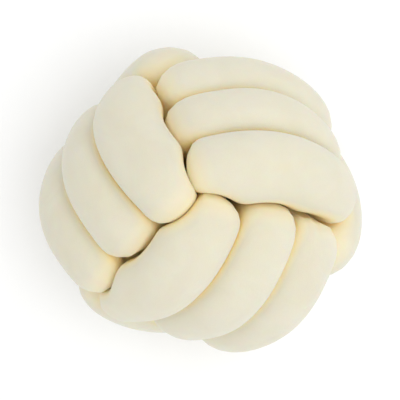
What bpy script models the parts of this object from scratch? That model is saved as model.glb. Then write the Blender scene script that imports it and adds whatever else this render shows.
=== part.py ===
"""Knot cushion: one stuffed velvet tube tied into a ball (a three-strand monkey's fist).

The tube makes nine turns in three rings of three. Ring A shows on the two x sides of the ball's
own frame, ring C on its two y sides and ring B on its two z sides, and the rings lock together
like three Borromean loops: A strands dive under C strands, C under B, B under A. The two tube
ends are sewn to each other inside the knot, so the whole cushion is one closed solid. Each
cross-section of the tube swells until it meets a neighbouring stretch of tube, or until it
reaches the fullness of the stuffing, and is then rounded the way stuffed cloth is.

The cushion lies on its back: the knotted face looks up (+Z) and small flat spots rest at z = 0.
"""
import math

import bpy
import numpy as np

for thing in list(bpy.data.objects):
    bpy.data.objects.remove(thing, do_unlink=True)

# ---------------------------------------------------------------- driving dimensions (metres)
CM = 0.01
OUTER_RADIUS = 2.95 * CM        # how far a strand swells outward from its centre line
SIDE_RADIUS = 3.25 * CM         # how far it may swell sideways before it meets a neighbour
TUCK_RADIUS = 3.9 * CM          # the same where it turns down to tuck under the others
TUCK_SLOPE = 0.45               # slope of the centre line at which it is fully turning down
STRAND_GAP = 0.20 * CM          # clear air kept between touching stretches of tube
SMALLEST_RADIUS = 0.45 * CM     # least radius in the tightest hidden places
BEND_LIMIT = 0.82               # share of the bend radius that the inside of a bend may use
ROUNDING = 0.65                 # edge rounding of a section, as a share of its inscribed circle
OVER_FROM = 0.3 * CM            # height difference from which the upper of two strands keeps its shape
OVER_FULL = 1.2 * CM            # and from which it keeps all of it
KEPT_RADIUS = 2.95 * CM         # radius that an upper strand keeps
LEFT_RADIUS = 0.9 * CM          # radius that it leaves the lower one
OVERSHOOT = 0.04 * CM           # how far blurring may carry a wall past its place
TUCK_RUN = 1.5 * CM             # how far past its exposed run a strand goes under the others
TUCK_DROP = 1.7 * CM            # how much lower the tuck is than the end of the exposed run
OWN_WINDOW = 9.0 * CM           # stretch of the tube's own length ignored as a neighbour
PATH_SMOOTHING = 0.9 * CM       # blur of the centre line
BEND_SMOOTHING = 0.6 * CM       # blur of its bend, before the bend limit is worked out
SURFACE_SMOOTHING = 0.7 * CM    # blur of the swollen surface along the tube
LEAST_ROUNDING = 0.3            # rounding leaves at least this share of a radius

PATH_SAMPLES = 1500             # samples of the centre line
STATIONS = 330                  # cross-sections along the tube
SIDES = 15                      # corners of each cross-section
HIDDEN_DENSITY = 0.6            # how closely hidden stretches are sampled, against visible ones

# Pose of the ball's own frame in the world, in degrees, and where its middle is.
FACE_SPIN = 108                 # turned about the line of sight
LEAN_X = -6                     # leaned about the world's X
LEAN_Y = -3                     # and about its Y
BALL_AT = (-0.09 * CM, -0.14 * CM, 13.5 * CM)    # low enough that the floor flattens its foot

# ---------------------------------------------------------------- the nine turns (centimetres)
# A regular exposed strand: a flat arch beside its ring's middle strand.
SIDE_STEP = 5.5                 # sideways from one turn to the next
CROWN_OUT = 11.25               # height of the middle strand's crown above the ball's middle
EDGE_FALL = 0.5                 # how much lower the crowns of the two outer strands are
END_FALL = 1.75                 # from a crown down to the ends of its exposed run
EXPOSED_RUN = 5.25              # from the crown to either end

# How the strands lie in this knot, against the regular one, in quarter-centimetre steps: "shift"
# moves a strand sideways, "swing" turns its finish away from its start, "bow" bends its crown
# sideways, "early" and "late" lengthen its run at the start and at the finish, "lift" raises it,
# "arch" lowers its two ends, and "tip" raises its finish and lowers its start.
COLUMNS = ("ring", "turn", "shift", "swing", "bow", "early", "late", "lift", "arch", "tip")
FRONT_LIE = (
    ("A", +1,     0,     1,     0,     0,   0.5,  0.25,  0.25,   0.5),
    ("A",  0,     0,   0.5,     0,  0.25,   0.5,  0.25,     0,     0),
    ("A", -1,     0,     0, -0.25,   0.5,     0,  0.25,     0, -0.25),
    ("C", +1,   0.5,    -1,     0,     0,     0, -0.25,  0.25,     1),
    ("C",  0, -0.25,  -0.5,  0.25,     0,     0,     0,  0.25,  0.75),
    ("C", -1, -0.25,     0,     0,     0,     0,     0,     0,     0),
    ("B", +1,  0.25,     1,     0,  0.75,     0,     0, -0.25,  -0.5),
    ("B",  0,   0.5,   0.5,     0,   0.5,     0,     0,     0,  -0.5),
    ("B", -1,     1,   0.5, -0.25,     1,  0.25,     0, -0.25,    -1),
)
BACK_LIE = (
    ("A", +1,     0,     1,     0,     0,     0,   0.5,     0,  -1.5),
    ("A",  0,     0,     0,     0,     0,     0,     0,     0,     0),
    ("A", -1,     0,     0,     0,     0,     0,     0,     0,     0),
    ("C", +1,     0,     0,     0,     0,     0,  -0.5,     0,  -2.5),
    ("C",  0,     0,     0,     0,     0,     0,     0,     0,     0),
    ("C", -1,     0,     0,     0,     0,     0,  -0.5,     0,     0),
    ("B", +1,  -1.5,     0,     0,     0,     0, -0.75,     0,  -2.5),
    ("B",  0,     0,     0,     0,     0,     0,     0,     0,     0),
    ("B", -1,     0,     0,     0,     0,     0,     0,     0,     0),
)
RING_ORDER = ("A", "C", "B")

# Hidden runs, in centimetres: how deep each turn crosses the ball's middle under the strands
# that cover it, on its way forward and on its way back.
DEPTH_FORWARD = {-1: 6.0, 0: 2.3, +1: 6.0}
DEPTH_BACK = {-1: 2.9, 0: 5.9}
SHOULDER_OUT = 4.2              # where a hidden run leaves the tuck
SHOULDER_DEPTH = 5.4
SHOULDER_PINCH = 0.62           # hidden runs draw together: sideways offset kept at the shoulder
CORE_PINCH = 0.35               # and at the middle
TO_NEXT_RING = ((4.6, 4.6, 4.0), (1.2, 1.0, 3.9), (-2.2, -3.2, 4.2), (-4.2, -6.0, 5.2))


def strands(rows):
    """Each strand's offsets and heights, worked out from the regular one and how it lies."""
    made = {}
    for row in rows:
        lie = dict(zip(COLUMNS, row))
        turn = lie["turn"]
        side = turn * SIDE_STEP + lie["shift"]
        crown = CROWN_OUT - EDGE_FALL * abs(turn) + lie["lift"]
        end = crown - END_FALL - lie["arch"]
        made[(lie["ring"], turn)] = {
            "side_start": side - lie["swing"] / 2,
            "side_crown": side + lie["bow"],
            "side_finish": side + lie["swing"] / 2,
            "out_start": end - lie["tip"] / 2,
            "out_crown": crown,
            "out_finish": end + lie["tip"] / 2,
            "run_start": EXPOSED_RUN + lie["early"],
            "run_finish": EXPOSED_RUN + lie["late"],
        }
    return made


def exposed_run(row, way):
    """Five centre-line points (out, along, side) of one exposed strand; way is +1 front, -1 back."""
    drop = TUCK_DROP / CM
    past = TUCK_RUN / CM
    start = row["run_start"]
    finish = row["run_finish"]
    start_side = row["side_start"] + 0.1 * (row["side_start"] - row["side_crown"])
    finish_side = row["side_finish"] + 0.1 * (row["side_finish"] - row["side_crown"])
    points = (
        (row["out_start"] - drop, -start - past, start_side),
        (row["out_start"], -start, row["side_start"]),
        (row["out_crown"], 0.0, row["side_crown"]),
        (row["out_finish"], finish, row["side_finish"]),
        (row["out_finish"] - drop, finish + past, finish_side),
    )
    return [(way * out, way * along, side) for out, along, side in points]


def ring_points(ring, front, back):
    """Centre-line points (out, along, side) of one ring's three turns and the way to the next."""
    points = []
    for turn in (-1, 0, +1):
        far = back[(ring, turn)]
        near = front[(ring, turn)]
        points += exposed_run(far, -1)
        depth = DEPTH_FORWARD[turn]
        shoulder = 0.45 * depth + 0.55 * SHOULDER_DEPTH
        leave = far["side_finish"]
        arrive = near["side_start"]
        points.append((-SHOULDER_OUT, -shoulder, leave * SHOULDER_PINCH))
        points.append((0.0, -depth, 0.5 * (leave + arrive) * CORE_PINCH))
        points.append((SHOULDER_OUT, -shoulder, arrive * SHOULDER_PINCH))
        points += exposed_run(near, +1)
        if turn < 1:
            depth = DEPTH_BACK[turn]
            shoulder = 0.45 * depth + 0.55 * SHOULDER_DEPTH
            leave = near["side_finish"]
            arrive = back[(ring, turn + 1)]["side_start"]
            step = 0.12 * (arrive - leave)
            points.append((SHOULDER_OUT, shoulder, leave * SHOULDER_PINCH + step))
            points.append((0.0, depth, 0.65 * (leave + arrive) * CORE_PINCH))
            points.append((-SHOULDER_OUT, shoulder, arrive * SHOULDER_PINCH - step))
        else:
            points += list(TO_NEXT_RING)
    return np.array(points) * CM


def control_points():
    """All centre-line points in the ball's own frame; each ring is the last one turned about (1, 1, 1)."""
    front = strands(FRONT_LIE)
    back = strands(BACK_LIE)
    rings = []
    for turns, ring in enumerate(RING_ORDER):
        points = ring_points(ring, front, back)
        for _ in range(turns):
            points = points[:, [2, 0, 1]]
        rings.append(points)
    return np.vstack(rings)


# ---------------------------------------------------------------- pose
def lean():
    """Rotation by LEAN_X about the world's X and LEAN_Y about its Y, together as one small turn."""
    vector = np.radians(np.array((LEAN_X, LEAN_Y, 0.0)))
    angle = np.linalg.norm(vector)
    x, y, z = vector / angle
    cross = np.array(((0, -z, y), (z, 0, -x), (-y, x, 0)))
    return np.eye(3) + math.sin(angle) * cross + (1 - math.cos(angle)) * cross @ cross


def ball_to_world():
    """Turn the ball so its (1, 1, 1) corner looks up, spun and leaned as it lies."""
    up = np.ones(3) / math.sqrt(3)
    one = np.array((0.0, -1.0, 0.0))
    one -= one @ up * up
    one /= np.linalg.norm(one)
    two = np.cross(one, up)
    spin = math.radians(FACE_SPIN)
    turned = np.outer((math.cos(spin), math.sin(spin), 0), one)
    turned += np.outer((math.sin(spin), -math.cos(spin), 0), two)
    turned += np.outer((0, 0, 1), up)
    return lean() @ turned


# ---------------------------------------------------------------- centre line
def closed_spline(points, per_span=24):
    """Smooth closed curve through the points."""
    count = len(points)
    after = np.roll(points, -1, 0)
    span = np.linalg.norm(after - points, axis=1) ** 0.5
    matrix = np.zeros((count, count))
    right = np.zeros((count, 3))
    for i in range(count):
        prev = (i - 1) % count
        matrix[i, prev] += span[prev]
        matrix[i, i] += 2 * (span[prev] + span[i])
        matrix[i, (i + 1) % count] += span[i]
        right[i] = 6 * ((after[i] - points[i]) / span[i] - (points[i] - points[prev]) / span[prev])
    bend = np.linalg.solve(matrix, right)
    t = np.linspace(0, 1, per_span, endpoint=False)[:, None]
    pieces = []
    for i in range(count):
        j = (i + 1) % count
        cubic = ((1 - t) ** 3 - (1 - t)) * bend[i] + (t ** 3 - t) * bend[j]
        pieces.append((1 - t) * points[i] + t * points[j] + cubic * span[i] ** 2 / 6)
    return np.concatenate(pieces)


def even_spacing(curve, count):
    """The closed curve resampled at equal steps, and its length."""
    ring = np.vstack([curve, curve[:1]])
    length = np.concatenate([[0], np.cumsum(np.linalg.norm(np.diff(ring, axis=0), axis=1))])
    at = np.linspace(0, length[-1], count, endpoint=False)
    return np.stack([np.interp(at, length, ring[:, k]) for k in range(3)], 1), length[-1]


def blur_along(values, sigma):
    """Gaussian blur along a closed sequence; sigma in samples."""
    waves = np.fft.fftfreq(len(values))
    gain = np.exp(-2 * (math.pi * waves * sigma) ** 2)
    gain = gain.reshape((-1,) + (1,) * (values.ndim - 1))
    return np.real(np.fft.ifft(np.fft.fft(values, axis=0) * gain, axis=0))


def centre_line():
    curve, length = even_spacing(closed_spline(control_points()), PATH_SAMPLES)
    curve = blur_along(curve, PATH_SMOOTHING * PATH_SAMPLES / length)
    curve, length = even_spacing(curve, PATH_SAMPLES)
    return curve, length


def section_axes(curve):
    """Tangent and two cross axes that do not twist, closed up over the whole tube."""
    count = len(curve)
    along = np.roll(curve, -1, 0) - np.roll(curve, 1, 0)
    along /= np.linalg.norm(along, axis=1)[:, None]
    axis = np.zeros_like(curve)
    first = np.cross(along[0], (0.3, 0.5, 0.8))
    axis[0] = first / np.linalg.norm(first)
    for i in range(1, count):
        step = axis[i - 1] - np.dot(axis[i - 1], along[i]) * along[i]
        axis[i] = step / np.linalg.norm(step)
    last = axis[-1] - np.dot(axis[-1], along[0]) * along[0]
    last /= np.linalg.norm(last)
    twist = math.atan2(np.dot(np.cross(last, axis[0]), along[0]), np.dot(last, axis[0]))
    angle = twist * np.arange(count)[:, None] / count
    other = np.cross(along, axis)
    axis = np.cos(angle) * axis + np.sin(angle) * other
    return along, axis, np.cross(along, axis)


def pick_stations(curve, length):
    """Indices of the cross-sections: closer together where the tube shows."""
    out = np.linalg.norm(curve, axis=1) / CM
    shows = np.clip((out - 7.0) / 2.0, 0, 1)
    density = HIDDEN_DENSITY + (1 - HIDDEN_DENSITY) * shows
    density = blur_along(density, 2.0 * CM * len(curve) / length)
    total = np.concatenate([[0], np.cumsum(density)])
    at = np.linspace(0, total[-1], STATIONS, endpoint=False)
    return np.interp(at, total, np.arange(len(curve) + 1))


def at_stations(values, stations):
    """Values of a closed sequence at fractional sample numbers."""
    low = np.floor(stations).astype(int)
    part = (stations - low).reshape((-1,) + (1,) * (values.ndim - 1))
    count = len(values)
    return values[low % count] * (1 - part) + values[(low + 1) % count] * part


# ---------------------------------------------------------------- cross-sections
def turning_down(curve, along):
    """Share, 0 to 1, by which each stretch of the tube turns down to tuck in under the others."""
    up = curve / np.linalg.norm(curve, axis=1)[:, None]
    slope = np.abs((along * up).sum(1))
    share = np.clip(slope / TUCK_SLOPE, 0, 1)
    return share * share * (3 - 2 * share)


def neighbour_limit(curve, length, stations, centres, rays, full):
    """Distance along each ray to the wall shared with the nearest other stretch of tube.

    The wall lies midway between two strands side by side. Where one lies over the other it
    keeps its radius. A strand may also fill whatever its neighbour is not full enough to reach."""
    count = len(curve)
    step = length / count
    limit = np.empty(rays.shape[:2])
    for start in range(0, len(stations), 32):
        block = slice(start, start + 32)
        apart = curve[None] - centres[block, None]
        square = (apart ** 2).sum(-1)
        run = np.abs(np.arange(count)[None] - stations[block, None])
        run = np.minimum(run, count - run) * step
        skip = (run < OWN_WINDOW) | (square > (2 * TUCK_RADIUS + 0.01) ** 2)
        kept = np.where((~skip).any(0))[0]
        if len(kept) == 0:
            limit[block] = 1.0
            continue
        skip = skip[:, kept]
        apart = apart[:, kept]
        square = square[:, kept]
        distance = np.sqrt(square)
        up = curve[None, kept] + centres[block, None]
        up /= np.maximum(np.linalg.norm(up, axis=2), 1e-6)[..., None]
        height = (apart * up).sum(-1)
        over = np.clip((np.abs(height) - OVER_FROM) / (OVER_FULL - OVER_FROM), 0, 1)
        over = over * over * (3 - 2 * over)
        push = np.clip(2 * KEPT_RADIUS - distance, 0, np.maximum(distance - 2 * LEFT_RADIUS, 0))
        edge = STRAND_GAP + np.sign(height) * over * push
        facing = np.einsum("sak,smk->sam", rays[block], apart)
        under = 2 * (facing + edge[:, None])
        midway = np.where(under > 1e-4, (square - edge ** 2)[:, None] / np.maximum(under, 1e-4), 1.0)
        reach = full[None, kept] + STRAND_GAP
        room = facing ** 2 - (square - reach ** 2)[:, None]
        free = np.where((room > 0) & (facing > 0), facing - np.sqrt(np.maximum(room, 0)), 1.0)
        free = np.where((distance > reach)[:, None], free, 0.0)
        wall = np.maximum(midway, free)
        wall = np.where(skip[:, None], 1.0, wall)
        limit[block] = np.minimum(wall.min(-1), 1.0)
    return limit


def clearance(spots, corner, edge):
    """Distance from each spot to the nearest edge of its outline."""
    square = (edge ** 2).sum(-1)
    clear = np.full(spots.shape[:2], np.inf)
    for k in range(corner.shape[1]):
        off = spots - corner[:, None, k]
        part = (off * edge[:, None, k]).sum(-1) / square[:, None, k]
        off = off - np.clip(part, 0, 1)[..., None] * edge[:, None, k]
        clear = np.minimum(clear, (off ** 2).sum(-1))
    return np.sqrt(clear)


def round_sections(radii, angles):
    """Round each outline: everything that one rolling disc can reach inside it.

    The disc starts at the deepest spot of the outline and is pushed out along every ray."""
    rays = np.stack([np.cos(angles), np.sin(angles)], 1)
    rounded = np.empty_like(radii)
    shares = np.linspace(0, 0.72, 7)
    for start in range(0, len(radii), 64):
        outline = radii[start:start + 64]
        corner = outline[..., None] * rays[None]
        edge = np.roll(corner, -1, 1) - corner
        spots = (outline[:, None, ::2, None] * shares[None, :, None, None] * rays[None, None, ::2])
        spots = spots.reshape(len(outline), -1, 2)
        clear = clearance(spots, corner, edge)
        best = clear.argmax(1)
        rows = np.arange(len(outline))
        deepest = spots[rows, best][:, None]
        disc = ROUNDING * clear[rows, best][:, None]
        near = np.zeros_like(outline)
        far = np.broadcast_to(2 * outline.max(1)[:, None], outline.shape).copy()
        for _ in range(9):
            middle = 0.5 * (near + far)
            trial = deepest + middle[..., None] * rays[None]
            along_ray = np.hypot(trial[..., 0], trial[..., 1])
            heading = np.arctan2(trial[..., 1], trial[..., 0]) % (2 * math.pi)
            place = heading / (angles[1] - angles[0])
            low = np.floor(place).astype(int) % len(angles)
            part = place - np.floor(place)
            reach = outline[rows[:, None], low] * (1 - part)
            reach += outline[rows[:, None], (low + 1) % len(angles)] * part
            fits = (clearance(trial, corner, edge) >= disc) & (along_ray < reach)
            near = np.where(fits, middle, near)
            far = np.where(fits, far, middle)
        seats = deepest + near[..., None] * rays[None]
        ahead = np.einsum("sqk,ak->sqa", seats, rays)
        beside = seats[..., 0, None] * rays[None, None, :, 1]
        beside = beside - seats[..., 1, None] * rays[None, None, :, 0]
        room = disc[..., None] ** 2 - beside ** 2
        reach = np.where(room > 0, ahead + np.sqrt(np.maximum(room, 0)), 0.0)
        rounded[start:start + 64] = reach.max(1)
    return np.minimum(rounded, radii)


def tube_sections():
    """Centres, rays, radii and wall distances of every cross-section, in the world.

    The ball rests on z = 0, where the floor presses it flat."""
    to_world = ball_to_world()
    curve, length = centre_line()
    along, axis, other = section_axes(curve)
    stations = pick_stations(curve, length)
    centres = at_stations(curve, stations)
    angles = np.arange(SIDES) * 2 * math.pi / SIDES
    axis_here = at_stations(axis, stations)[:, None]
    other_here = at_stations(other, stations)[:, None]
    rays = np.cos(angles)[None, :, None] * axis_here + np.sin(angles)[None, :, None] * other_here
    rays /= np.linalg.norm(rays, axis=2)[..., None]

    outward = centres / np.linalg.norm(centres, axis=1)[:, None]
    facing = np.clip(np.einsum("sak,sk->sa", rays, outward), 0, 1) ** 2
    tuck = turning_down(curve, along)
    full = SIDE_RADIUS + (TUCK_RADIUS - SIDE_RADIUS) * tuck
    full_here = at_stations(full, stations)[:, None]
    swell = full_here + (OUTER_RADIUS - full_here) * facing
    bend = np.roll(along, -1, 0) - np.roll(along, 1, 0)
    bend = blur_along(bend, BEND_SMOOTHING * PATH_SAMPLES / length) * PATH_SAMPLES / (2 * length)
    inside = np.einsum("sak,sk->sa", rays, at_stations(bend, stations))
    bend_reach = BEND_LIMIT / np.maximum(inside, 1e-3)
    walls = neighbour_limit(curve, length, stations, centres, rays, full)
    outer = np.minimum(np.minimum(walls, swell), bend_reach)
    outer = np.maximum(outer, SMALLEST_RADIUS)
    radii = np.maximum(round_sections(outer, angles), LEAST_ROUNDING * outer)
    spacing = length / STATIONS
    radii = np.minimum(blur_along(radii, SURFACE_SMOOTHING / spacing), outer + OVERSHOOT)

    centres = centres @ to_world.T + np.array(BALL_AT)
    rays = rays @ to_world.T
    downward = np.minimum(rays[..., 2], -1e-6)
    drop = -centres[:, None, 2] / downward
    radii = np.where(rays[..., 2] < -1e-3, np.minimum(radii, drop), radii)
    return centres, rays, radii, walls


def add_tube(collection, material):
    """The knotted tube: a loft through all cross-sections, closed into one ring."""
    centres, rays, radii, _ = tube_sections()
    points = centres[:, None] + radii[..., None] * rays
    rows, sides = points.shape[:2]
    number = np.arange(rows * sides).reshape(rows, sides)
    next_row = np.roll(number, -1, 0)
    quads = np.stack([number, next_row, np.roll(next_row, -1, 1), np.roll(number, -1, 1)], -1)
    mesh = bpy.data.meshes.new("knot_tube")
    mesh.from_pydata(points.reshape(-1, 3).tolist(), [], quads.reshape(-1, 4)[:, ::-1].tolist())
    mesh.update()
    mesh.shade_smooth()
    mesh.materials.append(material)
    tube = bpy.data.objects.new("knot_tube", mesh)
    collection.objects.link(tube)
    return tube


def cream_velvet():
    material = bpy.data.materials.new("cream_velvet")
    material.use_nodes = True
    shader = material.node_tree.nodes["Principled BSDF"]
    shader.inputs["Base Color"].default_value = (0.87, 0.80, 0.64, 1.0)
    shader.inputs["Roughness"].default_value = 0.9
    shader.inputs["Sheen Weight"].default_value = 0.3
    return material


group = bpy.data.collections.new("knot_cushion")
bpy.context.scene.collection.children.link(group)
add_tube(group, cream_velvet())
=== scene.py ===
"""Looks of the knot cushion: the same knotted tube as the frame's solid, finely made, in cream velvet.

One stuffed tube makes nine turns in three interlocking rings of three. Its cross-sections swell
until they meet a neighbouring stretch of tube. The cushion lies on its back, seen from above.
"""
import math

import bpy
import numpy as np
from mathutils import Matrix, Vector


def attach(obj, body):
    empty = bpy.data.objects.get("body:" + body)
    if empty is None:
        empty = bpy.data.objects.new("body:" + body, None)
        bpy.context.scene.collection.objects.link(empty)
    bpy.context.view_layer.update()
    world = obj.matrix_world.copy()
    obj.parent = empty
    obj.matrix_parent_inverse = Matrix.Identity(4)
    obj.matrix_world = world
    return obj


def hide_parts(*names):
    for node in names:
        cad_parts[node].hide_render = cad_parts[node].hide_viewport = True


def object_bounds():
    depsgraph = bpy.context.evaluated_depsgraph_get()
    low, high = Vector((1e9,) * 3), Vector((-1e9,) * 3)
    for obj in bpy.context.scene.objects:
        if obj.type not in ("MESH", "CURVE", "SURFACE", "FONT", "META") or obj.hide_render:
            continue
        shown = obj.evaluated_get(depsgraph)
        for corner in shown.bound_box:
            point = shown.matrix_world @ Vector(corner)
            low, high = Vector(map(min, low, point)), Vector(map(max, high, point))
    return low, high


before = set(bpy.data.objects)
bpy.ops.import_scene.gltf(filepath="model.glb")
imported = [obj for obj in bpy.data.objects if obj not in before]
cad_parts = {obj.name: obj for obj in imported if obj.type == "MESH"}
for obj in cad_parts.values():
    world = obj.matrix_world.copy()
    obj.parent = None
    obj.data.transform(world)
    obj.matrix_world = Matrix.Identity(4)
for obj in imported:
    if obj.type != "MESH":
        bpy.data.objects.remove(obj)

# ---------------------------------------------------------------- looks
PAINTED_BOUNCE_REACH = 0.0060           # how far the painted warm bounce light of a crease spreads, in metres
# Colours are linear; the cloth's three are mixed by soft noise, and the two of the painted warm bounce
# light in the creases by how closely the cloth is pressed.
CLOTH_LIGHT = (0.728, 0.698, 0.575, 1.0)
CLOTH_SHADE = (0.700, 0.662, 0.530, 1.0)
CLOTH_WARM = (0.735, 0.688, 0.495, 1.0)
# Painted bounce light: warm, bright colours that stand in for light reflected between pressed strands in
# the creases.
PAINTED_BOUNCE_EDGE = (0.900, 0.790, 0.500, 1.0)
PAINTED_BOUNCE_COLOUR = (0.990, 0.740, 0.300, 1.0)
FLOOR_COLOUR = (0.97, 0.97, 0.97, 1.0)
FLOOR_SIZE = 8.0                # metres
WORLD_COLOUR = (0.985, 0.993, 1.0, 1.0)
WORLD_STRENGTH = 0.88
CAMERA_DISTANCE = 1.30          # above the ball's middle, in metres
VIEW_WIDTH = 0.379              # what the picture takes in at the ball's middle, in metres
VIEW_SHIFT = (-0.0015, 0.0013)  # the ball sits a little off the picture's middle
SOFTBOX_COLUMNS = ("name", "x", "y", "z", "size", "watts")   # metres and watts
SOFTBOXES = (
    ("key_softbox", 0.6, -0.3, 2.2, 1.6, 15.5),
    ("fill_softbox", 0.8, 1.1, 1.6, 1.4, 2.0),
)

# ---------------------------------------------------------------- driving dimensions (metres)
CM = 0.01
OUTER_RADIUS = 2.95 * CM        # how far a strand swells outward from its centre line
SIDE_RADIUS = 3.25 * CM         # how far it may swell sideways before it meets a neighbour
TUCK_RADIUS = 3.9 * CM          # the same where it turns down to tuck under the others
TUCK_SLOPE = 0.45               # slope of the centre line at which it is fully turning down
STRAND_GAP = 0.03 * CM          # clear air between touching stretches of cloth
SMALLEST_RADIUS = 0.45 * CM     # least radius in the tightest hidden places
BEND_LIMIT = 0.82               # share of the bend radius that the inside of a bend may use
ROUNDING = 0.65                 # edge rounding of a section, as a share of its inscribed circle
OVER_FROM = 0.3 * CM            # height difference from which the upper of two strands keeps its shape
OVER_FULL = 1.2 * CM            # and from which it keeps all of it
KEPT_RADIUS = 2.95 * CM         # radius that an upper strand keeps
LEFT_RADIUS = 0.9 * CM          # radius that it leaves the lower one
OVERSHOOT = 0.04 * CM           # how far blurring may carry a wall past its place
TUCK_RUN = 1.5 * CM             # how far past its exposed run a strand goes under the others
TUCK_DROP = 1.7 * CM            # how much lower the tuck is than the end of the exposed run
OWN_WINDOW = 9.0 * CM           # stretch of the tube's own length ignored as a neighbour
PATH_SMOOTHING = 0.9 * CM       # blur of the centre line
BEND_SMOOTHING = 0.6 * CM       # blur of its bend, before the bend limit is worked out
SURFACE_SMOOTHING = 0.7 * CM    # blur of the swollen surface along the tube
LEAST_ROUNDING = 0.3            # rounding leaves at least this share of a radius

PATH_SAMPLES = 1500             # samples of the centre line
STATIONS = 1200                 # cross-sections along the tube
SIDES = 72                      # corners of each cross-section
HIDDEN_DENSITY = 0.7            # how closely hidden stretches are sampled, against visible ones

# Pose of the ball's own frame in the world, in degrees, and where its middle is.
FACE_SPIN = 108                 # turned about the line of sight
LEAN_X = -6                     # leaned about the world's X
LEAN_Y = -3                     # and about its Y
BALL_AT = (-0.09 * CM, -0.14 * CM, 13.5 * CM)    # low enough that the floor flattens its foot

# ---------------------------------------------------------------- the nine turns (centimetres)
# A regular exposed strand: a flat arch beside its ring's middle strand.
SIDE_STEP = 5.5                 # sideways from one turn to the next
CROWN_OUT = 11.25               # height of the middle strand's crown above the ball's middle
EDGE_FALL = 0.5                 # how much lower the crowns of the two outer strands are
END_FALL = 1.75                 # from a crown down to the ends of its exposed run
EXPOSED_RUN = 5.25              # from the crown to either end

# How the strands lie in this knot, against the regular one, in quarter-centimetre steps: "shift"
# moves a strand sideways, "swing" turns its finish away from its start, "bow" bends its crown
# sideways, "early" and "late" lengthen its run at the start and at the finish, "lift" raises it,
# "arch" lowers its two ends, and "tip" raises its finish and lowers its start.
COLUMNS = ("ring", "turn", "shift", "swing", "bow", "early", "late", "lift", "arch", "tip")
FRONT_LIE = (
    ("A", +1,     0,     1,     0,     0,   0.5,  0.25,  0.25,   0.5),
    ("A",  0,     0,   0.5,     0,  0.25,   0.5,  0.25,     0,     0),
    ("A", -1,     0,     0, -0.25,   0.5,     0,  0.25,     0, -0.25),
    ("C", +1,   0.5,    -1,     0,     0,     0, -0.25,  0.25,     1),
    ("C",  0, -0.25,  -0.5,  0.25,     0,     0,     0,  0.25,  0.75),
    ("C", -1, -0.25,     0,     0,     0,     0,     0,     0,     0),
    ("B", +1,  0.25,     1,     0,  0.75,     0,     0, -0.25,  -0.5),
    ("B",  0,   0.5,   0.5,     0,   0.5,     0,     0,     0,  -0.5),
    ("B", -1,     1,   0.5, -0.25,     1,  0.25,     0, -0.25,    -1),
)
BACK_LIE = (
    ("A", +1,     0,     1,     0,     0,     0,   0.5,     0,  -1.5),
    ("A",  0,     0,     0,     0,     0,     0,     0,     0,     0),
    ("A", -1,     0,     0,     0,     0,     0,     0,     0,     0),
    ("C", +1,     0,     0,     0,     0,     0,  -0.5,     0,  -2.5),
    ("C",  0,     0,     0,     0,     0,     0,     0,     0,     0),
    ("C", -1,     0,     0,     0,     0,     0,  -0.5,     0,     0),
    ("B", +1,  -1.5,     0,     0,     0,     0, -0.75,     0,  -2.5),
    ("B",  0,     0,     0,     0,     0,     0,     0,     0,     0),
    ("B", -1,     0,     0,     0,     0,     0,     0,     0,     0),
)
RING_ORDER = ("A", "C", "B")

# Hidden runs, in centimetres: how deep each turn crosses the ball's middle under the strands
# that cover it, on its way forward and on its way back.
DEPTH_FORWARD = {-1: 6.0, 0: 2.3, +1: 6.0}
DEPTH_BACK = {-1: 2.9, 0: 5.9}
SHOULDER_OUT = 4.2              # where a hidden run leaves the tuck
SHOULDER_DEPTH = 5.4
SHOULDER_PINCH = 0.62           # hidden runs draw together: sideways offset kept at the shoulder
CORE_PINCH = 0.35               # and at the middle
TO_NEXT_RING = ((4.6, 4.6, 4.0), (1.2, 1.0, 3.9), (-2.2, -3.2, 4.2), (-4.2, -6.0, 5.2))


def strands(rows):
    """Each strand's offsets and heights, worked out from the regular one and how it lies."""
    made = {}
    for row in rows:
        lie = dict(zip(COLUMNS, row))
        turn = lie["turn"]
        side = turn * SIDE_STEP + lie["shift"]
        crown = CROWN_OUT - EDGE_FALL * abs(turn) + lie["lift"]
        end = crown - END_FALL - lie["arch"]
        made[(lie["ring"], turn)] = {
            "side_start": side - lie["swing"] / 2,
            "side_crown": side + lie["bow"],
            "side_finish": side + lie["swing"] / 2,
            "out_start": end - lie["tip"] / 2,
            "out_crown": crown,
            "out_finish": end + lie["tip"] / 2,
            "run_start": EXPOSED_RUN + lie["early"],
            "run_finish": EXPOSED_RUN + lie["late"],
        }
    return made


def exposed_run(row, way):
    """Five centre-line points (out, along, side) of one exposed strand; way is +1 front, -1 back."""
    drop = TUCK_DROP / CM
    past = TUCK_RUN / CM
    start = row["run_start"]
    finish = row["run_finish"]
    start_side = row["side_start"] + 0.1 * (row["side_start"] - row["side_crown"])
    finish_side = row["side_finish"] + 0.1 * (row["side_finish"] - row["side_crown"])
    points = (
        (row["out_start"] - drop, -start - past, start_side),
        (row["out_start"], -start, row["side_start"]),
        (row["out_crown"], 0.0, row["side_crown"]),
        (row["out_finish"], finish, row["side_finish"]),
        (row["out_finish"] - drop, finish + past, finish_side),
    )
    return [(way * out, way * along, side) for out, along, side in points]


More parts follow.
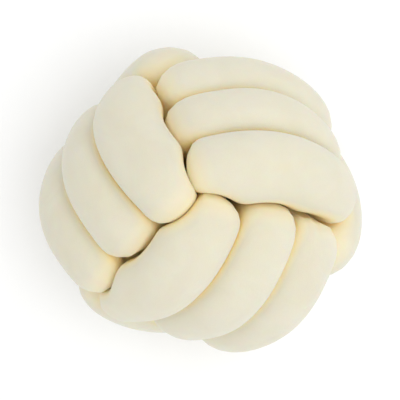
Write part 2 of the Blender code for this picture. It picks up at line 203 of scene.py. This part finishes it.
def ring_points(ring, front, back):
    """Centre-line points (out, along, side) of one ring's three turns and the way to the next."""
    points = []
    for turn in (-1, 0, +1):
        far = back[(ring, turn)]
        near = front[(ring, turn)]
        points += exposed_run(far, -1)
        depth = DEPTH_FORWARD[turn]
        shoulder = 0.45 * depth + 0.55 * SHOULDER_DEPTH
        leave = far["side_finish"]
        arrive = near["side_start"]
        points.append((-SHOULDER_OUT, -shoulder, leave * SHOULDER_PINCH))
        points.append((0.0, -depth, 0.5 * (leave + arrive) * CORE_PINCH))
        points.append((SHOULDER_OUT, -shoulder, arrive * SHOULDER_PINCH))
        points += exposed_run(near, +1)
        if turn < 1:
            depth = DEPTH_BACK[turn]
            shoulder = 0.45 * depth + 0.55 * SHOULDER_DEPTH
            leave = near["side_finish"]
            arrive = back[(ring, turn + 1)]["side_start"]
            step = 0.12 * (arrive - leave)
            points.append((SHOULDER_OUT, shoulder, leave * SHOULDER_PINCH + step))
            points.append((0.0, depth, 0.65 * (leave + arrive) * CORE_PINCH))
            points.append((-SHOULDER_OUT, shoulder, arrive * SHOULDER_PINCH - step))
        else:
            points += list(TO_NEXT_RING)
    return np.array(points) * CM


def control_points():
    """All centre-line points in the ball's own frame; each ring is the last one turned about (1, 1, 1)."""
    front = strands(FRONT_LIE)
    back = strands(BACK_LIE)
    rings = []
    for turns, ring in enumerate(RING_ORDER):
        points = ring_points(ring, front, back)
        for _ in range(turns):
            points = points[:, [2, 0, 1]]
        rings.append(points)
    return np.vstack(rings)


# ---------------------------------------------------------------- pose
def lean():
    """Rotation by LEAN_X about the world's X and LEAN_Y about its Y, together as one small turn."""
    vector = np.radians(np.array((LEAN_X, LEAN_Y, 0.0)))
    angle = np.linalg.norm(vector)
    x, y, z = vector / angle
    cross = np.array(((0, -z, y), (z, 0, -x), (-y, x, 0)))
    return np.eye(3) + math.sin(angle) * cross + (1 - math.cos(angle)) * cross @ cross


def ball_to_world():
    """Turn the ball so its (1, 1, 1) corner looks up, spun and leaned as it lies."""
    up = np.ones(3) / math.sqrt(3)
    one = np.array((0.0, -1.0, 0.0))
    one -= one @ up * up
    one /= np.linalg.norm(one)
    two = np.cross(one, up)
    spin = math.radians(FACE_SPIN)
    turned = np.outer((math.cos(spin), math.sin(spin), 0), one)
    turned += np.outer((math.sin(spin), -math.cos(spin), 0), two)
    turned += np.outer((0, 0, 1), up)
    return lean() @ turned


# ---------------------------------------------------------------- centre line
def closed_spline(points, per_span=24):
    """Smooth closed curve through the points."""
    count = len(points)
    after = np.roll(points, -1, 0)
    span = np.linalg.norm(after - points, axis=1) ** 0.5
    matrix = np.zeros((count, count))
    right = np.zeros((count, 3))
    for i in range(count):
        prev = (i - 1) % count
        matrix[i, prev] += span[prev]
        matrix[i, i] += 2 * (span[prev] + span[i])
        matrix[i, (i + 1) % count] += span[i]
        right[i] = 6 * ((after[i] - points[i]) / span[i] - (points[i] - points[prev]) / span[prev])
    bend = np.linalg.solve(matrix, right)
    t = np.linspace(0, 1, per_span, endpoint=False)[:, None]
    pieces = []
    for i in range(count):
        j = (i + 1) % count
        cubic = ((1 - t) ** 3 - (1 - t)) * bend[i] + (t ** 3 - t) * bend[j]
        pieces.append((1 - t) * points[i] + t * points[j] + cubic * span[i] ** 2 / 6)
    return np.concatenate(pieces)


def even_spacing(curve, count):
    """The closed curve resampled at equal steps, and its length."""
    ring = np.vstack([curve, curve[:1]])
    length = np.concatenate([[0], np.cumsum(np.linalg.norm(np.diff(ring, axis=0), axis=1))])
    at = np.linspace(0, length[-1], count, endpoint=False)
    return np.stack([np.interp(at, length, ring[:, k]) for k in range(3)], 1), length[-1]


def blur_along(values, sigma):
    """Gaussian blur along a closed sequence; sigma in samples."""
    waves = np.fft.fftfreq(len(values))
    gain = np.exp(-2 * (math.pi * waves * sigma) ** 2)
    gain = gain.reshape((-1,) + (1,) * (values.ndim - 1))
    return np.real(np.fft.ifft(np.fft.fft(values, axis=0) * gain, axis=0))


def centre_line():
    """The tube's centre line at even steps, smoothed, and its length."""
    curve, length = even_spacing(closed_spline(control_points()), PATH_SAMPLES)
    curve = blur_along(curve, PATH_SMOOTHING * PATH_SAMPLES / length)
    curve, length = even_spacing(curve, PATH_SAMPLES)
    return curve, length


def section_axes(curve):
    """Tangent and two cross axes that do not twist, closed up over the whole tube."""
    count = len(curve)
    along = np.roll(curve, -1, 0) - np.roll(curve, 1, 0)
    along /= np.linalg.norm(along, axis=1)[:, None]
    axis = np.zeros_like(curve)
    first = np.cross(along[0], (0.3, 0.5, 0.8))
    axis[0] = first / np.linalg.norm(first)
    for i in range(1, count):
        step = axis[i - 1] - np.dot(axis[i - 1], along[i]) * along[i]
        axis[i] = step / np.linalg.norm(step)
    last = axis[-1] - np.dot(axis[-1], along[0]) * along[0]
    last /= np.linalg.norm(last)
    twist = math.atan2(np.dot(np.cross(last, axis[0]), along[0]), np.dot(last, axis[0]))
    angle = twist * np.arange(count)[:, None] / count
    other = np.cross(along, axis)
    axis = np.cos(angle) * axis + np.sin(angle) * other
    return along, axis, np.cross(along, axis)


def pick_stations(curve, length):
    """Indices of the cross-sections: closer together where the tube shows."""
    out = np.linalg.norm(curve, axis=1) / CM
    shows = np.clip((out - 7.0) / 2.0, 0, 1)
    density = HIDDEN_DENSITY + (1 - HIDDEN_DENSITY) * shows
    density = blur_along(density, 2.0 * CM * len(curve) / length)
    total = np.concatenate([[0], np.cumsum(density)])
    at = np.linspace(0, total[-1], STATIONS, endpoint=False)
    return np.interp(at, total, np.arange(len(curve) + 1))


def at_stations(values, stations):
    """Values of a closed sequence at fractional sample numbers."""
    low = np.floor(stations).astype(int)
    part = (stations - low).reshape((-1,) + (1,) * (values.ndim - 1))
    count = len(values)
    return values[low % count] * (1 - part) + values[(low + 1) % count] * part


# ---------------------------------------------------------------- cross-sections
def turning_down(curve, along):
    """Share, 0 to 1, by which each stretch of the tube turns down to tuck in under the others."""
    up = curve / np.linalg.norm(curve, axis=1)[:, None]
    slope = np.abs((along * up).sum(1))
    share = np.clip(slope / TUCK_SLOPE, 0, 1)
    return share * share * (3 - 2 * share)


def neighbour_limit(curve, length, stations, centres, rays, full):
    """Distance along each ray to the wall shared with the nearest other stretch of tube.

    The wall lies midway between two strands side by side. Where one lies over the other it
    keeps its radius. A strand may also fill whatever its neighbour is not full enough to reach."""
    count = len(curve)
    step = length / count
    limit = np.empty(rays.shape[:2])
    for start in range(0, len(stations), 32):
        block = slice(start, start + 32)
        apart = curve[None] - centres[block, None]
        square = (apart ** 2).sum(-1)
        run = np.abs(np.arange(count)[None] - stations[block, None])
        run = np.minimum(run, count - run) * step
        skip = (run < OWN_WINDOW) | (square > (2 * TUCK_RADIUS + 0.01) ** 2)
        kept = np.where((~skip).any(0))[0]
        if len(kept) == 0:
            limit[block] = 1.0
            continue
        skip = skip[:, kept]
        apart = apart[:, kept]
        square = square[:, kept]
        distance = np.sqrt(square)
        up = curve[None, kept] + centres[block, None]
        up /= np.maximum(np.linalg.norm(up, axis=2), 1e-6)[..., None]
        height = (apart * up).sum(-1)
        over = np.clip((np.abs(height) - OVER_FROM) / (OVER_FULL - OVER_FROM), 0, 1)
        over = over * over * (3 - 2 * over)
        push = np.clip(2 * KEPT_RADIUS - distance, 0, np.maximum(distance - 2 * LEFT_RADIUS, 0))
        edge = STRAND_GAP + np.sign(height) * over * push
        facing = np.einsum("sak,smk->sam", rays[block], apart)
        under = 2 * (facing + edge[:, None])
        midway = np.where(under > 1e-4, (square - edge ** 2)[:, None] / np.maximum(under, 1e-4), 1.0)
        reach = full[None, kept] + STRAND_GAP
        room = facing ** 2 - (square - reach ** 2)[:, None]
        free = np.where((room > 0) & (facing > 0), facing - np.sqrt(np.maximum(room, 0)), 1.0)
        free = np.where((distance > reach)[:, None], free, 0.0)
        wall = np.maximum(midway, free)
        wall = np.where(skip[:, None], 1.0, wall)
        limit[block] = np.minimum(wall.min(-1), 1.0)
    return limit


def clearance(spots, corner, edge):
    """Distance from each spot to the nearest edge of its outline."""
    square = (edge ** 2).sum(-1)
    clear = np.full(spots.shape[:2], np.inf)
    for k in range(corner.shape[1]):
        off = spots - corner[:, None, k]
        part = (off * edge[:, None, k]).sum(-1) / square[:, None, k]
        off = off - np.clip(part, 0, 1)[..., None] * edge[:, None, k]
        clear = np.minimum(clear, (off ** 2).sum(-1))
    return np.sqrt(clear)


def round_sections(radii, angles):
    """Round each outline: everything that one rolling disc can reach inside it.

    The disc starts at the deepest spot of the outline and is pushed out along every ray."""
    rays = np.stack([np.cos(angles), np.sin(angles)], 1)
    rounded = np.empty_like(radii)
    shares = np.linspace(0, 0.72, 7)
    for start in range(0, len(radii), 64):
        outline = radii[start:start + 64]
        corner = outline[..., None] * rays[None]
        edge = np.roll(corner, -1, 1) - corner
        spots = (outline[:, None, ::2, None] * shares[None, :, None, None] * rays[None, None, ::2])
        spots = spots.reshape(len(outline), -1, 2)
        clear = clearance(spots, corner, edge)
        best = clear.argmax(1)
        rows = np.arange(len(outline))
        deepest = spots[rows, best][:, None]
        disc = ROUNDING * clear[rows, best][:, None]
        near = np.zeros_like(outline)
        far = np.broadcast_to(2 * outline.max(1)[:, None], outline.shape).copy()
        for _ in range(9):
            middle = 0.5 * (near + far)
            trial = deepest + middle[..., None] * rays[None]
            along_ray = np.hypot(trial[..., 0], trial[..., 1])
            heading = np.arctan2(trial[..., 1], trial[..., 0]) % (2 * math.pi)
            place = heading / (angles[1] - angles[0])
            low = np.floor(place).astype(int) % len(angles)
            part = place - np.floor(place)
            reach = outline[rows[:, None], low] * (1 - part)
            reach += outline[rows[:, None], (low + 1) % len(angles)] * part
            fits = (clearance(trial, corner, edge) >= disc) & (along_ray < reach)
            near = np.where(fits, middle, near)
            far = np.where(fits, far, middle)
        seats = deepest + near[..., None] * rays[None]
        ahead = np.einsum("sqk,ak->sqa", seats, rays)
        beside = seats[..., 0, None] * rays[None, None, :, 1]
        beside = beside - seats[..., 1, None] * rays[None, None, :, 0]
        room = disc[..., None] ** 2 - beside ** 2
        reach = np.where(room > 0, ahead + np.sqrt(np.maximum(room, 0)), 0.0)
        rounded[start:start + 64] = reach.max(1)
    return np.minimum(rounded, radii)


def tube_sections():
    """Centres, rays, radii and wall distances of every cross-section, in the world.

    The ball rests on z = 0, where the floor presses it flat."""
    to_world = ball_to_world()
    curve, length = centre_line()
    along, axis, other = section_axes(curve)
    stations = pick_stations(curve, length)
    centres = at_stations(curve, stations)
    angles = np.arange(SIDES) * 2 * math.pi / SIDES
    axis_here = at_stations(axis, stations)[:, None]
    other_here = at_stations(other, stations)[:, None]
    rays = np.cos(angles)[None, :, None] * axis_here + np.sin(angles)[None, :, None] * other_here
    rays /= np.linalg.norm(rays, axis=2)[..., None]

    outward = centres / np.linalg.norm(centres, axis=1)[:, None]
    facing = np.clip(np.einsum("sak,sk->sa", rays, outward), 0, 1) ** 2
    tuck = turning_down(curve, along)
    full = SIDE_RADIUS + (TUCK_RADIUS - SIDE_RADIUS) * tuck
    full_here = at_stations(full, stations)[:, None]
    swell = full_here + (OUTER_RADIUS - full_here) * facing
    bend = np.roll(along, -1, 0) - np.roll(along, 1, 0)
    bend = blur_along(bend, BEND_SMOOTHING * PATH_SAMPLES / length) * PATH_SAMPLES / (2 * length)
    inside = np.einsum("sak,sk->sa", rays, at_stations(bend, stations))
    bend_reach = BEND_LIMIT / np.maximum(inside, 1e-3)
    walls = neighbour_limit(curve, length, stations, centres, rays, full)
    outer = np.minimum(np.minimum(walls, swell), bend_reach)
    outer = np.maximum(outer, SMALLEST_RADIUS)
    radii = np.maximum(round_sections(outer, angles), LEAST_ROUNDING * outer)
    spacing = length / STATIONS
    radii = np.minimum(blur_along(radii, SURFACE_SMOOTHING / spacing), outer + OVERSHOOT)

    centres = centres @ to_world.T + np.array(BALL_AT)
    rays = rays @ to_world.T
    downward = np.minimum(rays[..., 2], -1e-6)
    drop = -centres[:, None, 2] / downward
    radii = np.where(rays[..., 2] < -1e-3, np.minimum(radii, drop), radii)
    return centres, rays, radii, walls


# ---------------------------------------------------------------- the visible tube
def tube_mesh(name):
    """The tube as a mesh, with how closely each point is pressed by a neighbour stored as the mask of the
    painted warm bounce light in the creases.
    """
    centres, rays, radii, walls = tube_sections()
    points = centres[:, None] + radii[..., None] * rays
    rows, sides = points.shape[:2]
    number = np.arange(rows * sides).reshape(rows, sides)
    next_row = np.roll(number, -1, 0)
    quads = np.stack([number, next_row, np.roll(next_row, -1, 1), np.roll(number, -1, 1)], -1)
    mesh = bpy.data.meshes.new(name)
    mesh.from_pydata(points.reshape(-1, 3).tolist(), [], quads.reshape(-1, 4)[:, ::-1].tolist())
    mesh.update()
    mesh.shade_smooth()

    # Mask of the painted bounce light: near 1 where a neighbouring strand presses close, where the creases
    # are painted warmer.
    room = np.maximum(walls - radii, 0)
    painted_bounce_mask = np.exp(-room / PAINTED_BOUNCE_REACH)
    painted_bounce_mask = blur_along(blur_along(painted_bounce_mask, 2.0).T, 1.0).T
    layer = mesh.attributes.new("painted_bounce_mask", "FLOAT", "POINT")
    layer.data.foreach_set("value", np.clip(painted_bounce_mask, 0, 1).astype(np.float32).ravel())
    return mesh


# ---------------------------------------------------------------- materials
def node(tree, kind, **settings):
    """A new node; names of inputs are set by default value, other names as properties."""
    made = tree.nodes.new(kind)
    for key, value in settings.items():
        if key in made.inputs:
            made.inputs[key].default_value = value
        else:
            setattr(made, key, value)
    return made


def mix_colour(tree, first, second, factor, blend="MIX"):
    """Output of a mix node; each of the three may be a socket or a fixed value."""
    mixer = node(tree, "ShaderNodeMix", data_type="RGBA", blend_type=blend)
    for socket, value in ((mixer.inputs[0], factor), (mixer.inputs[6], first), (mixer.inputs[7], second)):
        if isinstance(value, bpy.types.NodeSocket):
            tree.links.new(value, socket)
        else:
            socket.default_value = value
    return mixer.outputs[2]


def ramp(tree, factor, stops):
    """A colour ramp read by factor; stops are (place, grey or colour)."""
    made = node(tree, "ShaderNodeValToRGB")
    tree.links.new(factor, made.inputs["Fac"])
    elements = made.color_ramp.elements
    while len(elements) < len(stops):
        elements.new(1.0)
    for element, (place, value) in zip(elements, stops):
        element.position = place
        element.color = value if isinstance(value, tuple) else (value, value, value, 1.0)
    return made.outputs["Color"]


def velvet_material():
    """Cream short-pile velvet with painted warm bounce light in the creases, faintly brushed, with a fine
    pile.
    """
    material = bpy.data.materials.new("cream_velvet")
    material.use_nodes = True
    tree = material.node_tree
    shader = tree.nodes["Principled BSDF"]
    links = tree.links
    place = node(tree, "ShaderNodeTexCoord").outputs["Object"]

    brushed = node(tree, "ShaderNodeTexNoise", Scale=26.0, Detail=3.0, Roughness=0.55, Distortion=0.6)
    cloudy = node(tree, "ShaderNodeTexNoise", Scale=9.0, Detail=2.0, Roughness=0.5)
    pile = node(tree, "ShaderNodeTexNoise", Scale=1500.0, Detail=2.0, Roughness=0.6)
    for noise in (brushed, cloudy, pile):
        links.new(place, noise.inputs["Vector"])

    cloth = ramp(tree, brushed.outputs["Fac"], ((0.30, CLOTH_SHADE), (0.70, CLOTH_LIGHT)))
    warmer = ramp(tree, cloudy.outputs["Fac"], ((0.35, 0.0), (0.75, 0.35)))
    cloth = mix_colour(tree, cloth, CLOTH_WARM, warmer)
    fibres = ramp(tree, pile.outputs["Fac"], ((0.25, 0.95), (0.75, 1.0)))
    cloth = mix_colour(tree, cloth, fibres, 1.0, "MULTIPLY")

    # Painted bounce light: the creases are painted warmer and brighter by how closely the cloth is
    # pressed.
    bounce_mask_node = node(tree, "ShaderNodeAttribute", attribute_name="painted_bounce_mask")
    near = ramp(tree, bounce_mask_node.outputs["Fac"], ((0.15, 0.0), (0.75, 1.0)))
    deep = ramp(tree, bounce_mask_node.outputs["Fac"], ((0.65, 0.0), (0.98, 1.0)))
    colour = mix_colour(tree, cloth, PAINTED_BOUNCE_EDGE, near)
    colour = mix_colour(tree, colour, PAINTED_BOUNCE_COLOUR, deep)
    links.new(colour, shader.inputs["Base Color"])

    rough = ramp(tree, brushed.outputs["Fac"], ((0.3, 0.78), (0.7, 0.90)))
    links.new(rough, shader.inputs["Roughness"])
    shader.inputs["Specular IOR Level"].default_value = 0.25
    shader.inputs["Sheen Weight"].default_value = 0.15
    shader.inputs["Sheen Roughness"].default_value = 0.45
    shader.inputs["Sheen Tint"].default_value = (0.93, 0.95, 1.0, 1.0)
    shader.inputs["Subsurface Weight"].default_value = 0.6
    shader.inputs["Subsurface Radius"].default_value = (1.0, 0.55, 0.25)
    shader.inputs["Subsurface Scale"].default_value = 0.012

    fine = node(tree, "ShaderNodeBump", Strength=0.35, Distance=0.0004)
    links.new(pile.outputs["Fac"], fine.inputs["Height"])
    soft = node(tree, "ShaderNodeBump", Strength=0.45, Distance=0.0014)
    links.new(brushed.outputs["Fac"], soft.inputs["Height"])
    links.new(fine.outputs["Normal"], soft.inputs["Normal"])
    links.new(soft.outputs["Normal"], shader.inputs["Normal"])
    return material


def plain_material(name, colour, roughness):
    """A material of one even colour."""
    material = bpy.data.materials.new(name)
    material.use_nodes = True
    shader = material.node_tree.nodes["Principled BSDF"]
    shader.inputs["Base Color"].default_value = colour
    shader.inputs["Roughness"].default_value = roughness
    return material


# ---------------------------------------------------------------- studio
def add_floor():
    """A wide pale floor at z = 0."""
    mesh = bpy.data.meshes.new("studio_floor")
    half = FLOOR_SIZE / 2
    corners = [(-half, -half, 0), (half, -half, 0), (half, half, 0), (-half, half, 0)]
    mesh.from_pydata(corners, [], [(0, 1, 2, 3)])
    mesh.materials.append(plain_material("pale_floor", FLOOR_COLOUR, 0.9))
    floor = bpy.data.objects.new("studio_floor", mesh)
    bpy.context.scene.collection.objects.link(floor)


def add_softbox(name, place, target, size, watts):
    """A round area light at place, aimed at target."""
    lamp = bpy.data.lights.new(name, "AREA")
    lamp.shape = "DISK"
    lamp.size = size
    lamp.energy = watts
    box = bpy.data.objects.new(name, lamp)
    box.location = place
    box.rotation_mode = "QUATERNION"
    box.rotation_quaternion = (target - Vector(place)).to_track_quat("-Z", "Y")
    bpy.context.scene.collection.objects.link(box)


def add_world():
    """Even, nearly white light from all around."""
    world = bpy.data.worlds.new("studio")
    world.use_nodes = True
    background = world.node_tree.nodes["Background"]
    background.inputs["Color"].default_value = WORLD_COLOUR
    background.inputs["Strength"].default_value = WORLD_STRENGTH
    bpy.context.scene.world = world


def add_camera(middle):
    """Straight above the knotted face, looking down, with +Y at the top of the picture."""
    lens = bpy.data.cameras.new("camera")
    lens.sensor_width = 36.0
    lens.lens = lens.sensor_width * CAMERA_DISTANCE / VIEW_WIDTH
    camera = bpy.data.objects.new("camera", lens)
    camera.location = (middle.x + VIEW_SHIFT[0], middle.y + VIEW_SHIFT[1], middle.z + CAMERA_DISTANCE)
    bpy.context.scene.collection.objects.link(camera)
    bpy.context.scene.camera = camera


# ---------------------------------------------------------------- the scene
cad_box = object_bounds()
centre = (Vector(cad_box[0]) + Vector(cad_box[1])) / 2

bpy.context.scene.view_settings.view_transform = "Standard"
add_world()
add_floor()
add_camera(centre)
for softbox in SOFTBOXES:
    row = dict(zip(SOFTBOX_COLUMNS, softbox))
    add_softbox(row["name"], (row["x"], row["y"], row["z"]), centre, row["size"], row["watts"])

cushion = bpy.data.objects.new("velvet_knot", tube_mesh("velvet_knot"))
cushion.data.materials.append(velvet_material())
bpy.context.scene.collection.objects.link(cushion)
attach(cushion, "root")
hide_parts("knot_tube")
